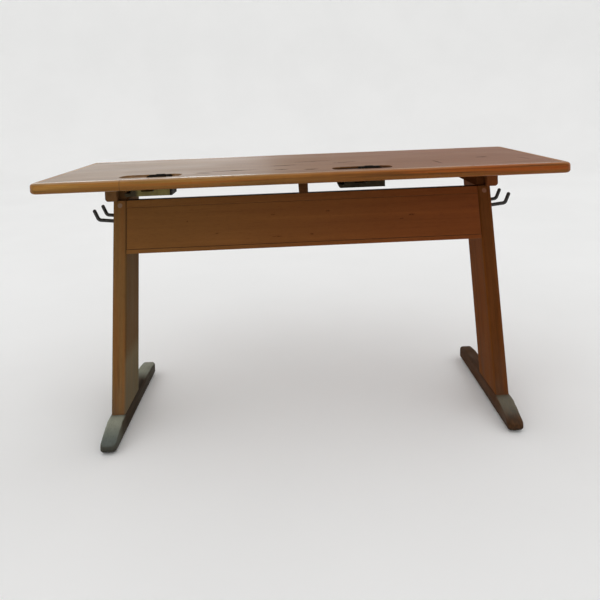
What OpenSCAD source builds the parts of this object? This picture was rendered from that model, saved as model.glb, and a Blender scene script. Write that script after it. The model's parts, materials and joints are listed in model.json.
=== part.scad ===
// Two-place wooden school drawing desk: flat lipped top on three bearers, raked plank legs,
// runner feet, a front apron, two covered ink pots and four bag hooks.
// Millimetres, +Z up. The origin is on the floor, under the middle of the desk.
// The apron side is the front (-Y); the pupils sit at the back (+Y).

/* [Top] */
// Width of the top
top_w = 1300; // [1200:10:1400]
// Depth of the top, front edge to back edge
top_d = 500; // [470:10:560]
// Thickness of the top
top_t = 26; // [24:1:30]
// Height of the writing surface above the floor
top_h = 640; // [620:10:700]
// Width of the solid lipping round the core, and radius of its corners
lip_w = 20; // [18:1:24]
// Rounding of the lipping's upper and lower edges
lip_round = 8; // [4:1:9]
// Distance of the butt joint in the front lipping from the middle
lip_joint = 436; // [300:1:500]

/* [Legs and feet] */
// Distance between the outer faces of the legs
leg_span = 1000; // [960:10:1040]
// Thickness of a leg
leg_t = 35; // [32:1:40]
// Depth of a leg, measured level
leg_d = 137; // [120:1:150]
// Rake of the legs, top leaning to the back, in degrees
leg_rake = 12.4; // [8:0.1:14]
// How far the leg's face is behind the top's front edge, where it meets the foot
leg_setback = 43; // [35:1:60]
// Rounding of a leg's long edges
leg_round = 8; // [4:1:10]
// Length of a foot
foot_l = 424; // [400:1:440]
// Width of a foot
foot_w = 39; // [36:1:44]
// Height of a foot's top where the leg stands on it
foot_h = 50; // [46:1:56]
// How far a foot runs ahead of the top's front edge
foot_toe = 44; // [30:1:50]
// Height of a foot's front end
toe_h = 28; // [24:1:32]
// Height of a foot's back end
heel_h = 38; // [34:1:42]
// Thickness of the glides under the feet
glide_t = 4; // [3:1:6]

/* [Bearers and apron] */
// Height of the bearers and cleats under the top
bearer_h = 47; // [40:1:50]
// Thickness of a side bearer
bearer_t = 30; // [26:1:34]
// How far a side bearer stands out past the leg
bearer_out = 17; // [10:1:20]
// Length of a side bearer
bearer_l = 320; // [280:5:320]
// Width of the centre bearer
centre_w = 24; // [20:1:40]
// Height of the apron, measured level
apron_h = 135; // [120:1:160]
// Thickness of the apron
apron_t = 20; // [18:1:24]
// Gap between the apron's top and the underside of the top
apron_gap = 47; // [42:1:52]
// Height of the solid rail along the apron's top edge
rail_h = 19; // [14:1:24]
// Height of the lipping along the apron's bottom edge
apron_lip_h = 11; // [8:1:14]

/* [Ink wells] */
// Middle of the left pen tray
left_tray_x = -377; // [-390:1:-340]
// Middle of the right pen tray
right_tray_x = 147; // [120:1:330]
// Length of a pen tray
tray_w = 150; // [140:1:170]
// Depth of a pen tray, front to back
tray_d = 56; // [54:1:60]
// How deep a pen tray is cut into the top
tray_cut = 5; // [5:0.5:6]
// How far the lid and pot are to the right of the tray's middle
lid_dx = 20; // [16:1:30]
// Width of an ink lid
lid_w = 54; // [50:1:56]
// Outer diameter of an ink pot
pot_od = 34; // [30:1:36]
// Width of an ink box under the top
box_w = 100; // [96:1:110]
// Depth of an ink box, front to back
box_d = 60; // [56:1:70]
// How far an ink box hangs below the top
box_h = 21; // [18:1:24]

/* [Bag hooks] */
// Diameter of the hook rod
hook_dia = 9.5; // [7:0.5:10]
// Height of the hooks above the floor
hook_z = 508; // [480:1:520]
// Distance from the leg to the hook's corner
hook_reach = 49; // [40:1:55]
// How much the hook's run rises away from the leg, in degrees
hook_tilt = 6; // [0:1:10]
// Length of the hook's raised arm from its corner
hook_arm = 31; // [28:1:36]
// Angle of the raised arm above level, in degrees
hook_angle = 67; // [50:1:75]
// Distance of the front hook behind the leg's front face
hook_y_front = 44; // [30:1:50]
// Distance between the two hooks of a leg
hook_pitch = 72; // [60:1:76]

/* [Hidden] */

$fn = 48;

// Colours
oak = [0.62, 0.45, 0.28];
lipping_oak = [0.70, 0.50, 0.28];
beech = [0.50, 0.33, 0.18];
dark_beech = [0.42, 0.27, 0.15];
plug_wood = [0.72, 0.58, 0.44];
black_steel = [0.12, 0.12, 0.12];
zinc = [0.62, 0.62, 0.60];
olive_metal = [0.38, 0.37, 0.29];

// Levels and depths
under_z = top_h - top_t;
bearer_z = under_z - bearer_h;
y_front = -(top_d + foot_toe) / 2;
top_front = y_front + foot_toe;
top_back = top_front + top_d;
core_w = top_w - 2 * lip_w;
core_d = top_d - 2 * lip_w;

// Leg planes: x of the inner and outer faces, y of the front face at a height
leg_out = leg_span / 2;
leg_in = leg_out - leg_t;
function leg_face(z) = top_front + leg_setback + (z - foot_h) * tan(leg_rake);

// Side bearers: the outer bearer overlaps the leg, the inner cleat lies beside it
bearer_out_x = leg_out + bearer_out;
bearer_in_x = bearer_out_x - bearer_t;
bearer_front = leg_face(bearer_z) - 9;
cleat_front = bearer_front + 18;
cleat_l = bearer_l - 34;
bearer_round = 9;

// Wood screws: shank, clearance hole, head
screw_r = 2;
screw_hole_r = 2.2;
screw_head_r = 4;
screw_head_h = 2;
bearer_screw_l = 44;

// Screws that hold the top: bigger heads, sunk into the bearers
top_head_r = 4.2;
top_head_h = 3;
side_sink = 9;
centre_sink = 4;
top_screw_bite = 14;

// Apron, in the raked plane of the legs
apron_z = under_z - apron_gap - apron_h;
apron_back_set = 2;
apron_slope_h = apron_h / cos(leg_rake);
cleat_s = 22;
cleat_end = 14;
slim_r = 1.8;
slim_head_r = 3.6;
slim_head_h = 1.8;
face_screw_l = 34;
side_screw_bite = 18;

// Leg bolts, dropped through the cleats into cross dowels near the leg's top
bolt_r = 3;
bolt_x = leg_out - leg_t / 2 - 1;
nut_r = 6;
nut_l = 16;
nut_z = bearer_z - 12;
plug_l = 8;
bolt_inset = plug_l + nut_l / 2;
bolt_bottom = nut_z - 8;
bolt_head_r = 5.2;
bolt_head_h = 5;

// Feet and their joint with the legs
foot_x = leg_in;
foot_plan_r = 12;
toe_r = 10;
foot_fall = 6;
knee_run = 38;
heel_run = 50;
glide_inset = 22;
glide_r = 10;
glide_pin_r = 1.5;
tenon_t = 16;
tenon_d = 90;
tenon_h = 28;
foot_bolt_r = 3.5;
foot_bolt_l = 90;
foot_sink = 4;
foot_head_r = 6.5;
foot_head_h = 4;

// Ink wells
tray_y = top_front + 68;
tray_corner = 22;
tray_z = top_h - tray_cut;
bezel_t = 2.2;
lid_t = 2.5;
lid_gap = 0.4;
lid_z = tray_z + bezel_t + lid_gap;
pin_r = 1.5;
pin_fit = 0.07;
knuckle_r = 2.6;
hinge_y = tray_y - 22.5;
hinge_z = lid_z + knuckle_r;
lid_d = 46;
pot_y = tray_y + 2;
pot_wall = 2.5;
pot_flange_r = 21;
pot_flange_t = 2;
pot_hole_r = pot_od / 2 + 0.5;
bezel_w = 58;
bezel_front = tray_y - 26;
bezel_d = 52;
ear_t = 5;
knuckle_l = 36;
box_front = top_front + 50;
box_dx = 3.5;
box_wall = 1.5;
scoop_w = 15;
scoop_h = 8;
scoop_r = 6;
box_flange = 9;
box_screw_r = 1.4;
box_head_r = 3;
box_head_h = 1.4;
slot_w = 31;
slot_dx = 25;
slot_h = 7;
bezel_screw_r = 1.2;
bezel_head_r = 2.3;
bezel_head_h = 0.9;
bezel_screw_l = 10.1;

// Hooks
hook_r = hook_dia / 2;
hook_bend = 10;
forge_swell = 0.05;
forge_lap = 0.2;
shank_r = 3;
shank_l = 26;

// ---- shared shapes ----

module rounded_rect(w, d, r) {
    translate([r, 0]) square([w - 2 * r, d]);
    translate([0, r]) square([w, d - 2 * r]);
    for (x = [r, w - r])
        for (y = [r, d - r])
            translate([x, y]) circle(r = r);
}

// Lipping section: x from 0 (core side) to lip_w (outside), y up
module lipping_section() {
    square([lip_w - lip_round, top_t]);
    translate([0, lip_round]) square([lip_w, top_t - 2 * lip_round]);
    for (y = [lip_round, top_t - lip_round])
        translate([lip_w - lip_round, y]) circle(r = lip_round);
}

// A straight length of lipping along +X, its outside towards -Y
module lipping_run(length) {
    rotate([90, 0, 90]) mirror([1, 0, 0])
        linear_extrude(height = length) lipping_section();
}

// A rounded corner of lipping, filling the quarter turn from angle a
module lipping_corner(a) {
    rotate([0, 0, a]) rotate_extrude(angle = 90, $fn = 64) lipping_section();
}

// Both sides of the desk: the right-hand shape as drawn, or mirrored to the left
module on_side(side) {
    if (side > 0) children();
    else mirror([1, 0, 0]) children();
}

// A drilled hole or a pin along +Y from its front end
module rod_y(x, y, z, r, length) {
    translate([x, y, z]) rotate([-90, 0, 0]) cylinder(r = r, h = length);
}

// A screw or bolt along +Z from the outer face of its head
module headed_pin(r, length, head_r, head_h) {
    cylinder(r = head_r, h = head_h);
    cylinder(r = r, h = length);
}

// ---- top ----

module tray_pocket(x) {
    translate([x - tray_w / 2, tray_y - tray_d / 2, tray_z])
        linear_extrude(height = tray_cut + 1) rounded_rect(tray_w, tray_d, tray_corner);
    translate([x + lid_dx, pot_y, under_z - 1]) cylinder(r = pot_hole_r, h = top_t + 2);
}

module core_panel() {
    color(oak) difference() {
        translate([-core_w / 2, top_front + lip_w, under_z]) cube([core_w, core_d, top_t]);
        tray_pocket(left_tray_x);
        tray_pocket(right_tray_x);
        for (x = [left_tray_x, right_tray_x])
            bezel_screw_places(x) translate([0, 0, -9]) cylinder(r = bezel_screw_r, h = 10);
        for (x = [left_tray_x, right_tray_x])
            box_screw_places(x) cylinder(r = box_screw_r, h = 10);
        top_screw_places() translate([0, 0, -1])
            cylinder(r = screw_r, h = top_screw_bite + 2);
    }
}

module front_lipping_left() {
    color(lipping_oak) {
        translate([-core_w / 2, top_front + lip_w, under_z])
            lipping_run(core_w / 2 - lip_joint);
        translate([-core_w / 2, top_front + lip_w, under_z]) lipping_corner(180);
    }
}

module front_lipping_right() {
    color(lipping_oak) {
        translate([-lip_joint, top_front + lip_w, under_z])
            lipping_run(core_w / 2 + lip_joint);
        translate([core_w / 2, top_front + lip_w, under_z]) lipping_corner(270);
    }
}

module back_lipping() {
    color(lipping_oak) {
        translate([core_w / 2, top_back - lip_w, under_z]) rotate([0, 0, 180])
            lipping_run(core_w);
        translate([core_w / 2, top_back - lip_w, under_z]) lipping_corner(0);
        translate([-core_w / 2, top_back - lip_w, under_z]) lipping_corner(90);
    }
}

module end_lipping() {
    translate([core_w / 2, top_front + lip_w, under_z]) rotate([0, 0, 90]) lipping_run(core_d);
}

module left_lipping() {
    color(lipping_oak) on_side(-1) end_lipping();
}

module right_lipping() {
    color(lipping_oak) on_side(1) end_lipping();
}

// ---- bearers ----

// Outer side bearer with its lower outer edge rounded
module side_bearer() {
    difference() {
        translate([bearer_in_x, bearer_front, bearer_z]) cube([bearer_t, bearer_l, bearer_h]);
        difference() {
            translate([bearer_out_x - bearer_round, bearer_front - 1, bearer_z - 1])
                cube([bearer_round + 1, bearer_l + 2, bearer_round + 1]);
            rod_y(bearer_out_x - bearer_round, bearer_front - 2, bearer_z + bearer_round,
                bearer_round, bearer_l + 4);
        }
        bearer_screw_row() cylinder(r = screw_hole_r, h = bearer_t + 2);
        bearer_screw_row() cylinder(r = screw_head_r + 0.2, h = screw_head_h + 0.2);
        bearer_top_screws() sunk_hole(bearer_h, side_sink);
    }
}

// Clearance hole through a bearer of height h, counterbored for a top screw's head
module sunk_hole(h, sink) {
    translate([0, 0, -1]) cylinder(r = screw_hole_r, h = h + 2);
    translate([0, 0, -1]) cylinder(r = top_head_r + 0.3, h = sink + top_head_h + 1);
}

module left_bearer() {
    color(beech) on_side(-1) side_bearer();
}

module right_bearer() {
    color(beech) on_side(1) side_bearer();
}

// Inner cleat: lies on the leg's top end and carries the leg bolts
module side_cleat() {
    difference() {
        translate([leg_in, cleat_front, bearer_z])
            cube([bearer_in_x - leg_in, cleat_l, bearer_h]);
        leg_bolt_places() translate([0, 0, -1]) cylinder(r = bolt_r, h = bearer_h + 2);
        leg_bolt_places() translate([0, 0, bearer_h - bolt_head_h - 2])
            cylinder(r = bolt_head_r + 0.3, h = bolt_head_h + 3);
        bearer_screw_row() cylinder(r = screw_r, h = bearer_screw_l + 2);
    }
}

module left_cleat() {
    color(dark_beech) on_side(-1) side_cleat();
}

module right_cleat() {
    color(dark_beech) on_side(1) side_cleat();
}

module centre_bearer() {
    z0 = under_z - apron_gap;
    color(beech) difference() {
        translate([-centre_w / 2, bearer_front + 4, z0])
            cube([centre_w, bearer_l - 30, apron_gap]);
        centre_screws() sunk_hole(apron_gap, centre_sink);
    }
}

// ---- legs and feet ----

// The leg's raked plank between two levels
module raked_plank(z0, z1) {
    depth = leg_d * cos(leg_rake);
    intersection() {
        translate([leg_in, leg_face(z0), z0]) rotate([-leg_rake, 0, 0])
            translate([0, 0, -60]) linear_extrude(height = (z1 - z0) / cos(leg_rake) + 120)
                rounded_rect(leg_t, depth, leg_round);
        translate([leg_in - 1, y_front, z0]) cube([leg_t + 2, top_d, z1 - z0]);
    }
}

function tenon_y() = leg_face(foot_h) + (leg_d - tenon_d) / 2;

module tenon(gap) {
    translate([leg_in + (leg_t - tenon_t) / 2 - gap, tenon_y() - gap, foot_h - tenon_h - gap])
        cube([tenon_t + 2 * gap, tenon_d + 2 * gap, tenon_h + gap]);
}

// y of the two leg bolts and of the ends of their cross dowel holes
function bolt_y(i) = i == 0 ? leg_face(nut_z) + bolt_inset
    : leg_face(nut_z) + leg_d - bolt_inset;

module leg_bolt_places() {
    for (i = [0, 1])
        translate([bolt_x, bolt_y(i), bearer_z]) children();
}

module dowel_holes() {
    reach = plug_l + nut_l + 6;
    rod_y(bolt_x, leg_face(nut_z) - 6, nut_z, nut_r, reach);
    rod_y(bolt_x, leg_face(nut_z) + leg_d + 6 - reach, nut_z, nut_r, reach);
}

module leg() {
    difference() {
        union() {
            raked_plank(foot_h, bearer_z);
            tenon(0);
        }
        dowel_holes();
        leg_bolt_places() translate([0, 0, bolt_bottom - bearer_z - 1])
            cylinder(r = bolt_r, h = 40);
        foot_bolt_places() cylinder(r = foot_bolt_r, h = foot_bolt_l + 2);
        hook_places() rotate([0, 90, 0]) translate([0, 0, -shank_l])
            cylinder(r = shank_r, h = shank_l + 1);
        apron_side_screws() rotate([0, 90, 0]) cylinder(r = slim_r, h = side_screw_bite + 2);
    }
}

module left_leg() {
    color(beech) on_side(-1) leg();
}

module right_leg() {
    color(beech) on_side(1) leg();
}

// Side view of a foot: flat under, highest under the leg, falling to rounded ends
module foot_profile() {
    knee_h = foot_h - foot_fall;
    leg_at = leg_setback + foot_toe;
    edge = 5;
    polygon([[0, glide_t + edge], [edge, glide_t], [foot_l - edge, glide_t],
        [foot_l, glide_t + edge], [foot_l, heel_h - toe_r], [foot_l - toe_r, heel_h],
        [foot_l - heel_run, knee_h], [leg_at + leg_d, foot_h], [leg_at - 14, foot_h],
        [leg_at - knee_run, knee_h], [toe_r, toe_h], [0, toe_h - toe_r]]);
    translate([toe_r, toe_h - toe_r]) circle(r = toe_r);
    translate([foot_l - toe_r, heel_h - toe_r]) circle(r = toe_r);
}

module foot() {
    difference() {
        intersection() {
            translate([foot_x, y_front, 0]) rotate([90, 0, 90])
                linear_extrude(height = foot_w) foot_profile();
            translate([foot_x, y_front, 0]) linear_extrude(height = foot_h + 1)
                rounded_rect(foot_w, foot_l, foot_plan_r);
        }
        tenon(0.1);
        foot_bolt_places() cylinder(r = foot_bolt_r + 0.3, h = foot_h);
        foot_bolt_places() translate([0, 0, -1])
            cylinder(r = foot_head_r + 1, h = foot_sink + foot_head_h + 1);
        glide_places() translate([0, 0, 1.5]) cylinder(r = glide_pin_r, h = 16);
    }
}

module left_foot() {
    color(beech) on_side(-1) foot();
}

module right_foot() {
    color(beech) on_side(1) foot();
}

module glide_places() {
    for (y = [glide_inset, foot_l - glide_inset])
        translate([foot_x + foot_w / 2, y_front + y, 0]) children();
}

module foot_glides() {
    color(zinc) for (side = [-1, 1])
        on_side(side) glide_places() headed_pin(glide_pin_r, 15.5, glide_r, glide_t);
}

// Bolts rise through the foot and its tenon hole into the leg
module foot_bolt_places() {
    for (y = [tenon_d * 0.22, tenon_d * 0.78])
        translate([bolt_x + 1, tenon_y() + y, glide_t]) children();
}

module foot_bolts() {
    color(zinc) for (side = [-1, 1])
        on_side(side) foot_bolt_places() {
            translate([0, 0, foot_sink])
                headed_pin(foot_bolt_r, foot_bolt_l - foot_sink, foot_head_r, foot_head_h);
        }
}

// ---- apron ----

// Children are placed in the apron's raked plane: x across, y into the desk, z up the slope
module apron_frame() {
    translate([0, leg_face(apron_z) + apron_back_set, apron_z]) rotate([-leg_rake, 0, 0])
        children();
}

module apron_board(z0, z1) {
    apron_frame() translate([-leg_in, 0, z0]) cube([2 * leg_in, apron_t, z1 - z0]);
}

// Keeps the raked apron under the level of its top and over its bottom
module apron_levels() {
    intersection() {
        children();
        translate([-leg_out, y_front, apron_z]) cube([2 * leg_out, top_d, apron_h]);
    }
}

module apron_panel() {
    color(beech) difference() {
        apron_levels() apron_board(apron_lip_h, apron_slope_h - rail_h);
        for (side = [-1, 1])
            on_side(side) apron_face_screws() rotate([90, 0, 0])
                cylinder(r = slim_r, h = face_screw_l + 1);
    }
}

module apron_top_rail() {
    color(beech) apron_levels() apron_board(apron_slope_h - rail_h, apron_slope_h + 10);
}

module apron_bottom_lipping() {
    color(lipping_oak) apron_levels() apron_board(-10, apron_lip_h);
}

module apron_cleat() {
    difference() {
        apron_frame() translate([leg_in - cleat_s, apron_t, cleat_end])
            cube([cleat_s, cleat_s, apron_slope_h - 2 * cleat_end]);
        apron_side_screws() rotate([0, -90, 0]) cylinder(r = slim_r, h = cleat_s + 2);
        apron_face_screws() rotate([90, 0, 0]) cylinder(r = slim_r, h = cleat_s + 2);
    }
}

module left_apron_cleat() {
    color(dark_beech) on_side(-1) apron_cleat();
}

module right_apron_cleat() {
    color(dark_beech) on_side(1) apron_cleat();
}

// Screws from the cleat sideways into the leg: origin on the leg's inner face, +X into the leg
module apron_side_screws() {
    for (z = [0.3 * apron_slope_h, 0.64 * apron_slope_h])
        apron_frame() translate([leg_in, apron_t + cleat_s / 2, z]) children();
}

// Screws from the cleat's back into the apron: origin on the cleat's back, -Y into the apron
module apron_face_screws() {
    for (z = [cleat_end + 8, apron_slope_h / 2, apron_slope_h - rail_h - cleat_end])
        apron_frame() translate([leg_in - cleat_s / 2, apron_t + cleat_s, z]) children();
}

module apron_screws() {
    color(zinc) for (side = [-1, 1])
        on_side(side) {
            apron_face_screws() translate([0, slim_head_h, 0]) rotate([90, 0, 0])
                headed_pin(slim_r, face_screw_l + slim_head_h, slim_head_r, slim_head_h);
            apron_side_screws() translate([-cleat_s - slim_head_h, 0, 0]) rotate([0, 90, 0])
                headed_pin(slim_r, cleat_s + side_screw_bite + slim_head_h, slim_head_r,
                    slim_head_h);
        }
}

// ---- fasteners of the frame ----

module leg_plugs() {
    color(plug_wood) for (side = [-1, 1])
        on_side(side) intersection() {
            union() {
                rod_y(bolt_x, leg_face(nut_z) - 6, nut_z, nut_r, plug_l + 6);
                rod_y(bolt_x, leg_face(nut_z) + leg_d - plug_l, nut_z, nut_r, plug_l + 6);
            }
            raked_plank(foot_h, bearer_z);
        }
}

module leg_bolts() {
    color(zinc) for (side = [-1, 1])
        on_side(side) leg_bolt_places() {
            translate([0, 0, bolt_bottom - bearer_z])
                cylinder(r = bolt_r, h = bearer_z - bolt_bottom + bearer_h - bolt_head_h);
            translate([0, 0, bearer_h - bolt_head_h - 2])
                cylinder(r = bolt_head_r, h = bolt_head_h);
        }
}

module barrel_nuts() {
    color(zinc) for (side = [-1, 1])
        on_side(side) difference() {
            union() {
                rod_y(bolt_x, bolt_y(0) - nut_l / 2, nut_z, nut_r, nut_l);
                rod_y(bolt_x, bolt_y(1) - nut_l / 2, nut_z, nut_r, nut_l);
            }
            leg_bolt_places() translate([0, 0, -30]) cylinder(r = bolt_r, h = 40);
        }
}

// Screws through the bearer into the cleat: origin on the bearer's outer face, local +Z inwards
module bearer_screw_row() {
    for (y = [30, bearer_l * 0.55, bearer_l - 50])
        translate([bearer_out_x, bearer_front + y, bearer_z + bearer_h * 0.62])
            rotate([0, -90, 0]) children();
}

module bearer_screws() {
    color(zinc) for (side = [-1, 1])
        on_side(side) bearer_screw_row()
            headed_pin(screw_r, bearer_screw_l, screw_head_r, screw_head_h);
}

// Screws up through the bearers into the top: origins on the bearers' undersides
module bearer_top_screws() {
    for (y = [54, bearer_l / 2 + 44, bearer_l - 24])
        translate([bearer_out_x - bearer_t / 2, bearer_front + y, bearer_z]) children();
}

module centre_screws() {
    for (y = [60, bearer_l - 60])
        translate([0, bearer_front + y, under_z - apron_gap]) children();
}

module top_screw_places() {
    for (side = [-1, 1])
        on_side(side) bearer_top_screws() translate([0, 0, bearer_h]) children();
    centre_screws() translate([0, 0, apron_gap]) children();
}

module top_screw(h, sink) {
    translate([0, 0, sink])
        headed_pin(screw_r, h - sink + top_screw_bite, top_head_r, top_head_h);
}

module top_screws() {
    color(zinc) {
        for (side = [-1, 1])
            on_side(side) bearer_top_screws() top_screw(bearer_h, side_sink);
        centre_screws() top_screw(apron_gap, centre_sink);
    }
}

// ---- ink wells ----

// End view of the box's pull: an open scoop with a rounded lower corner
module scoop_profile(inset) {
    difference() {
        translate([inset, inset]) square([scoop_w + box_wall, scoop_h]);
        translate([inset - 1, inset - 1]) square([scoop_r - inset + 1, scoop_r - inset + 1]);
    }
    translate([scoop_r, scoop_r]) circle(r = scoop_r - inset);
}

// Sheet box under the top, open upwards, with a pull along its lower left edge
module ink_box(x) {
    x0 = x + box_dx - box_w / 2;
    z0 = under_z - box_h;
    difference() {
        union() {
            translate([x0, box_front, z0]) cube([box_w, box_d, box_h]);
            translate([x0 - scoop_w, box_front + box_d, z0]) rotate([90, 0, 0])
                linear_extrude(height = box_d) intersection() {
                    scoop_profile(0);
                    square([scoop_w + box_wall, scoop_h]);
                }
            for (y = [box_front - box_flange, box_front + box_d - 2])
                translate([x0 + 8, y, under_z - box_wall])
                    cube([box_w - 16, box_flange + 2, box_wall]);
        }
        translate([x0 - scoop_w, box_front + box_d - box_wall, z0]) rotate([90, 0, 0])
            linear_extrude(height = box_d - 2 * box_wall) intersection() {
                scoop_profile(box_wall);
                square([scoop_w, scoop_h + 1]);
            }
        translate([x0 + box_wall, box_front + box_wall, z0 + box_wall])
            cube([box_w - 2 * box_wall, box_d - 2 * box_wall, box_h]);
        translate([x0 + slot_dx, box_front - 1, under_z - 10])
            cube([slot_w, box_wall + 2, slot_h]);
        box_screw_places(x) translate([0, 0, -4]) cylinder(r = box_screw_r + 0.3, h = 5);
    }
}

module left_ink_box() {
    color(olive_metal) ink_box(left_tray_x);
}

module right_ink_box() {
    color(black_steel) ink_box(right_tray_x);
}

module box_screw_places(x) {
    for (dx = [-32, 32])
        for (y = [box_front - 5, box_front + box_d + 5])
            translate([x + box_dx + dx, y, under_z]) children();
}

module ink_box_screws() {
    color(zinc) for (x = [left_tray_x, right_tray_x])
        box_screw_places(x) translate([0, 0, -box_wall - box_head_h])
            headed_pin(box_screw_r, 11, box_head_r, box_head_h);
}

// Frame round the pot's mouth, with two ears for the lid's hinge pin along its front edge
module bezel(x) {
    cx = x + lid_dx;
    difference() {
        union() {
            translate([cx - bezel_w / 2, bezel_front, tray_z])
                linear_extrude(height = bezel_t) rounded_rect(bezel_w, bezel_d, 4);
            for (ex = [-knuckle_l / 2 - 0.4 - ear_t, knuckle_l / 2 + 0.4])
                translate([cx + ex, 0, 0]) {
                    translate([0, hinge_y, hinge_z]) rotate([0, 90, 0])
                        cylinder(r = knuckle_r, h = ear_t);
                    translate([0, hinge_y - knuckle_r, tray_z + bezel_t / 2])
                        cube([ear_t, 2 * knuckle_r, hinge_z - tray_z - bezel_t / 2]);
                }
        }
        translate([cx, pot_y, tray_z - 1]) cylinder(r = pot_flange_r + 0.3, h = bezel_t + 2);
        translate([cx - bezel_w, hinge_y, hinge_z]) rotate([0, 90, 0])
            cylinder(r = pin_r, h = 2 * bezel_w);
        bezel_screw_places(x) translate([0, 0, -1]) cylinder(r = bezel_screw_r + 0.2, h = 3);
        bezel_screw_places(x) translate([0, 0, bezel_t - bezel_head_h - 0.1])
            cylinder(r = bezel_head_r + 0.1, h = 3);
    }
}

module bezel_screw_places(x) {
    for (dx = [-1, 1])
        translate([x + lid_dx + dx * (bezel_w / 2 - 4.5), bezel_front + bezel_d - 5, tray_z])
            children();
}

module bezel_screws() {
    color(zinc) for (x = [left_tray_x, right_tray_x])
        bezel_screw_places(x) translate([0, 0, bezel_t - 0.1]) rotate([180, 0, 0])
            headed_pin(bezel_screw_r, bezel_screw_l, bezel_head_r, bezel_head_h);
}

module left_bezel() {
    color(black_steel) bezel(left_tray_x);
}

module right_bezel() {
    color(black_steel) bezel(right_tray_x);
}

module ink_pot(x) {
    bottom = under_z - box_h + box_wall + 0.5;
    translate([x + lid_dx, pot_y, 0]) rotate_extrude($fn = 64) difference() {
        union() {
            translate([0, bottom]) square([pot_od / 2, tray_z - bottom]);
            translate([0, tray_z]) square([pot_flange_r, pot_flange_t]);
        }
        translate([-1, bottom + 3]) square([pot_od / 2 - pot_wall + 1, top_t + box_h]);
    }
}

module left_ink_pot() {
    color([0.80, 0.84, 0.84]) ink_pot(left_tray_x);
}

module right_ink_pot() {
    color([0.80, 0.84, 0.84]) ink_pot(right_tray_x);
}

// Flap lid: a plate with one hinge knuckle at the front and a raised finger rim at the back
module ink_lid(x) {
    cx = x + lid_dx;
    ear_clear = knuckle_r + 1;
    difference() {
        union() {
            translate([cx - lid_w / 2, hinge_y + ear_clear, lid_z])
                linear_extrude(height = lid_t) rounded_rect(lid_w, lid_d - ear_clear, 3);
            translate([cx - knuckle_l / 2, hinge_y, lid_z])
                cube([knuckle_l, ear_clear + 6, lid_t]);
            translate([cx - knuckle_l / 2, hinge_y, hinge_z]) rotate([0, 90, 0])
                cylinder(r = knuckle_r, h = knuckle_l);
            translate([cx - 11, hinge_y + lid_d - 4, lid_z]) cube([22, 3, lid_t + 1.5]);
        }
        translate([cx - lid_w, hinge_y, hinge_z]) rotate([0, 90, 0])
            cylinder(r = pin_r + pin_fit, h = 2 * lid_w);
    }
}

module left_lid() {
    color(black_steel) ink_lid(left_tray_x);
}

module right_lid() {
    color(black_steel) ink_lid(right_tray_x);
}

module hinge_pin(x) {
    length = knuckle_l + 2 * (ear_t + 0.4);
    translate([x + lid_dx - length / 2, hinge_y, hinge_z]) rotate([0, 90, 0])
        cylinder(r = pin_r, h = length);
}

module left_hinge_pin() {
    color(zinc) hinge_pin(left_tray_x);
}

module right_hinge_pin() {
    color(zinc) hinge_pin(right_tray_x);
}

// ---- bag hooks ----

module hook_place(i) {
    translate([leg_out, leg_face(hook_z) + hook_y_front + i * hook_pitch, hook_z]) children();
}

module hook_places() {
    for (i = [0, 1]) hook_place(i) children();
}

// Raised arm with a round tip, along +Z
module hook_tip(length) {
    rotate_extrude() intersection() {
        union() {
            square([hook_r, length - hook_r]);
            translate([0, length - hook_r]) circle(r = hook_r);
        }
        square([hook_r, length]);
    }
}

// Bent rod: screwed shank, run that rises from the leg, bend and a raised arm,
// which is forged onto the bend with a barely raised ball
module hook() {
    root = hook_r * sin(hook_tilt);
    bend = hook_angle - hook_tilt;
    tangent = hook_bend * tan(bend / 2);
    run = (hook_reach - root) / cos(hook_tilt) - tangent;
    rotate([0, 90, 0]) translate([0, 0, -shank_l]) cylinder(r = shank_r, h = shank_l + shank_r);
    translate([root, 0, 0]) rotate([0, -hook_tilt, 0]) {
        rotate([0, 90, 0]) cylinder(r = hook_r, h = run);
        translate([run, 0, hook_bend]) rotate([90, 0, 0]) rotate([0, 0, -90])
            rotate_extrude(angle = bend) translate([hook_bend, 0]) circle(r = hook_r);
        translate([run + tangent, 0, 0]) rotate([0, 90 - bend, 0]) {
            translate([0, 0, tangent]) sphere(r = hook_r + forge_swell);
            translate([0, 0, tangent + forge_lap]) hook_tip(hook_arm - tangent - forge_lap);
        }
    }
}

module left_front_hook() {
    color(black_steel) on_side(-1) hook_place(0) hook();
}

module left_rear_hook() {
    color(black_steel) on_side(-1) hook_place(1) hook();
}

module right_front_hook() {
    color(black_steel) on_side(1) hook_place(0) hook();
}

module right_rear_hook() {
    color(black_steel) on_side(1) hook_place(1) hook();
}

core_panel();
front_lipping_left();
front_lipping_right();
back_lipping();
left_lipping();
right_lipping();
left_bearer();
right_bearer();
left_cleat();
right_cleat();
centre_bearer();
left_leg();
right_leg();
left_foot();
right_foot();
apron_panel();
apron_top_rail();
apron_bottom_lipping();
left_apron_cleat();
right_apron_cleat();
left_ink_box();
right_ink_box();
left_bezel();
right_bezel();
left_ink_pot();
right_ink_pot();
left_lid();
right_lid();
left_hinge_pin();
right_hinge_pin();
left_front_hook();
left_rear_hook();
right_front_hook();
right_rear_hook();
leg_plugs();
leg_bolts();
barrel_nuts();
bearer_screws();
top_screws();
apron_screws();
foot_bolts();
foot_glides();
ink_box_screws();
bezel_screws();
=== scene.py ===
"""Looks for the two-place wooden school drawing desk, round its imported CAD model."""

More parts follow.
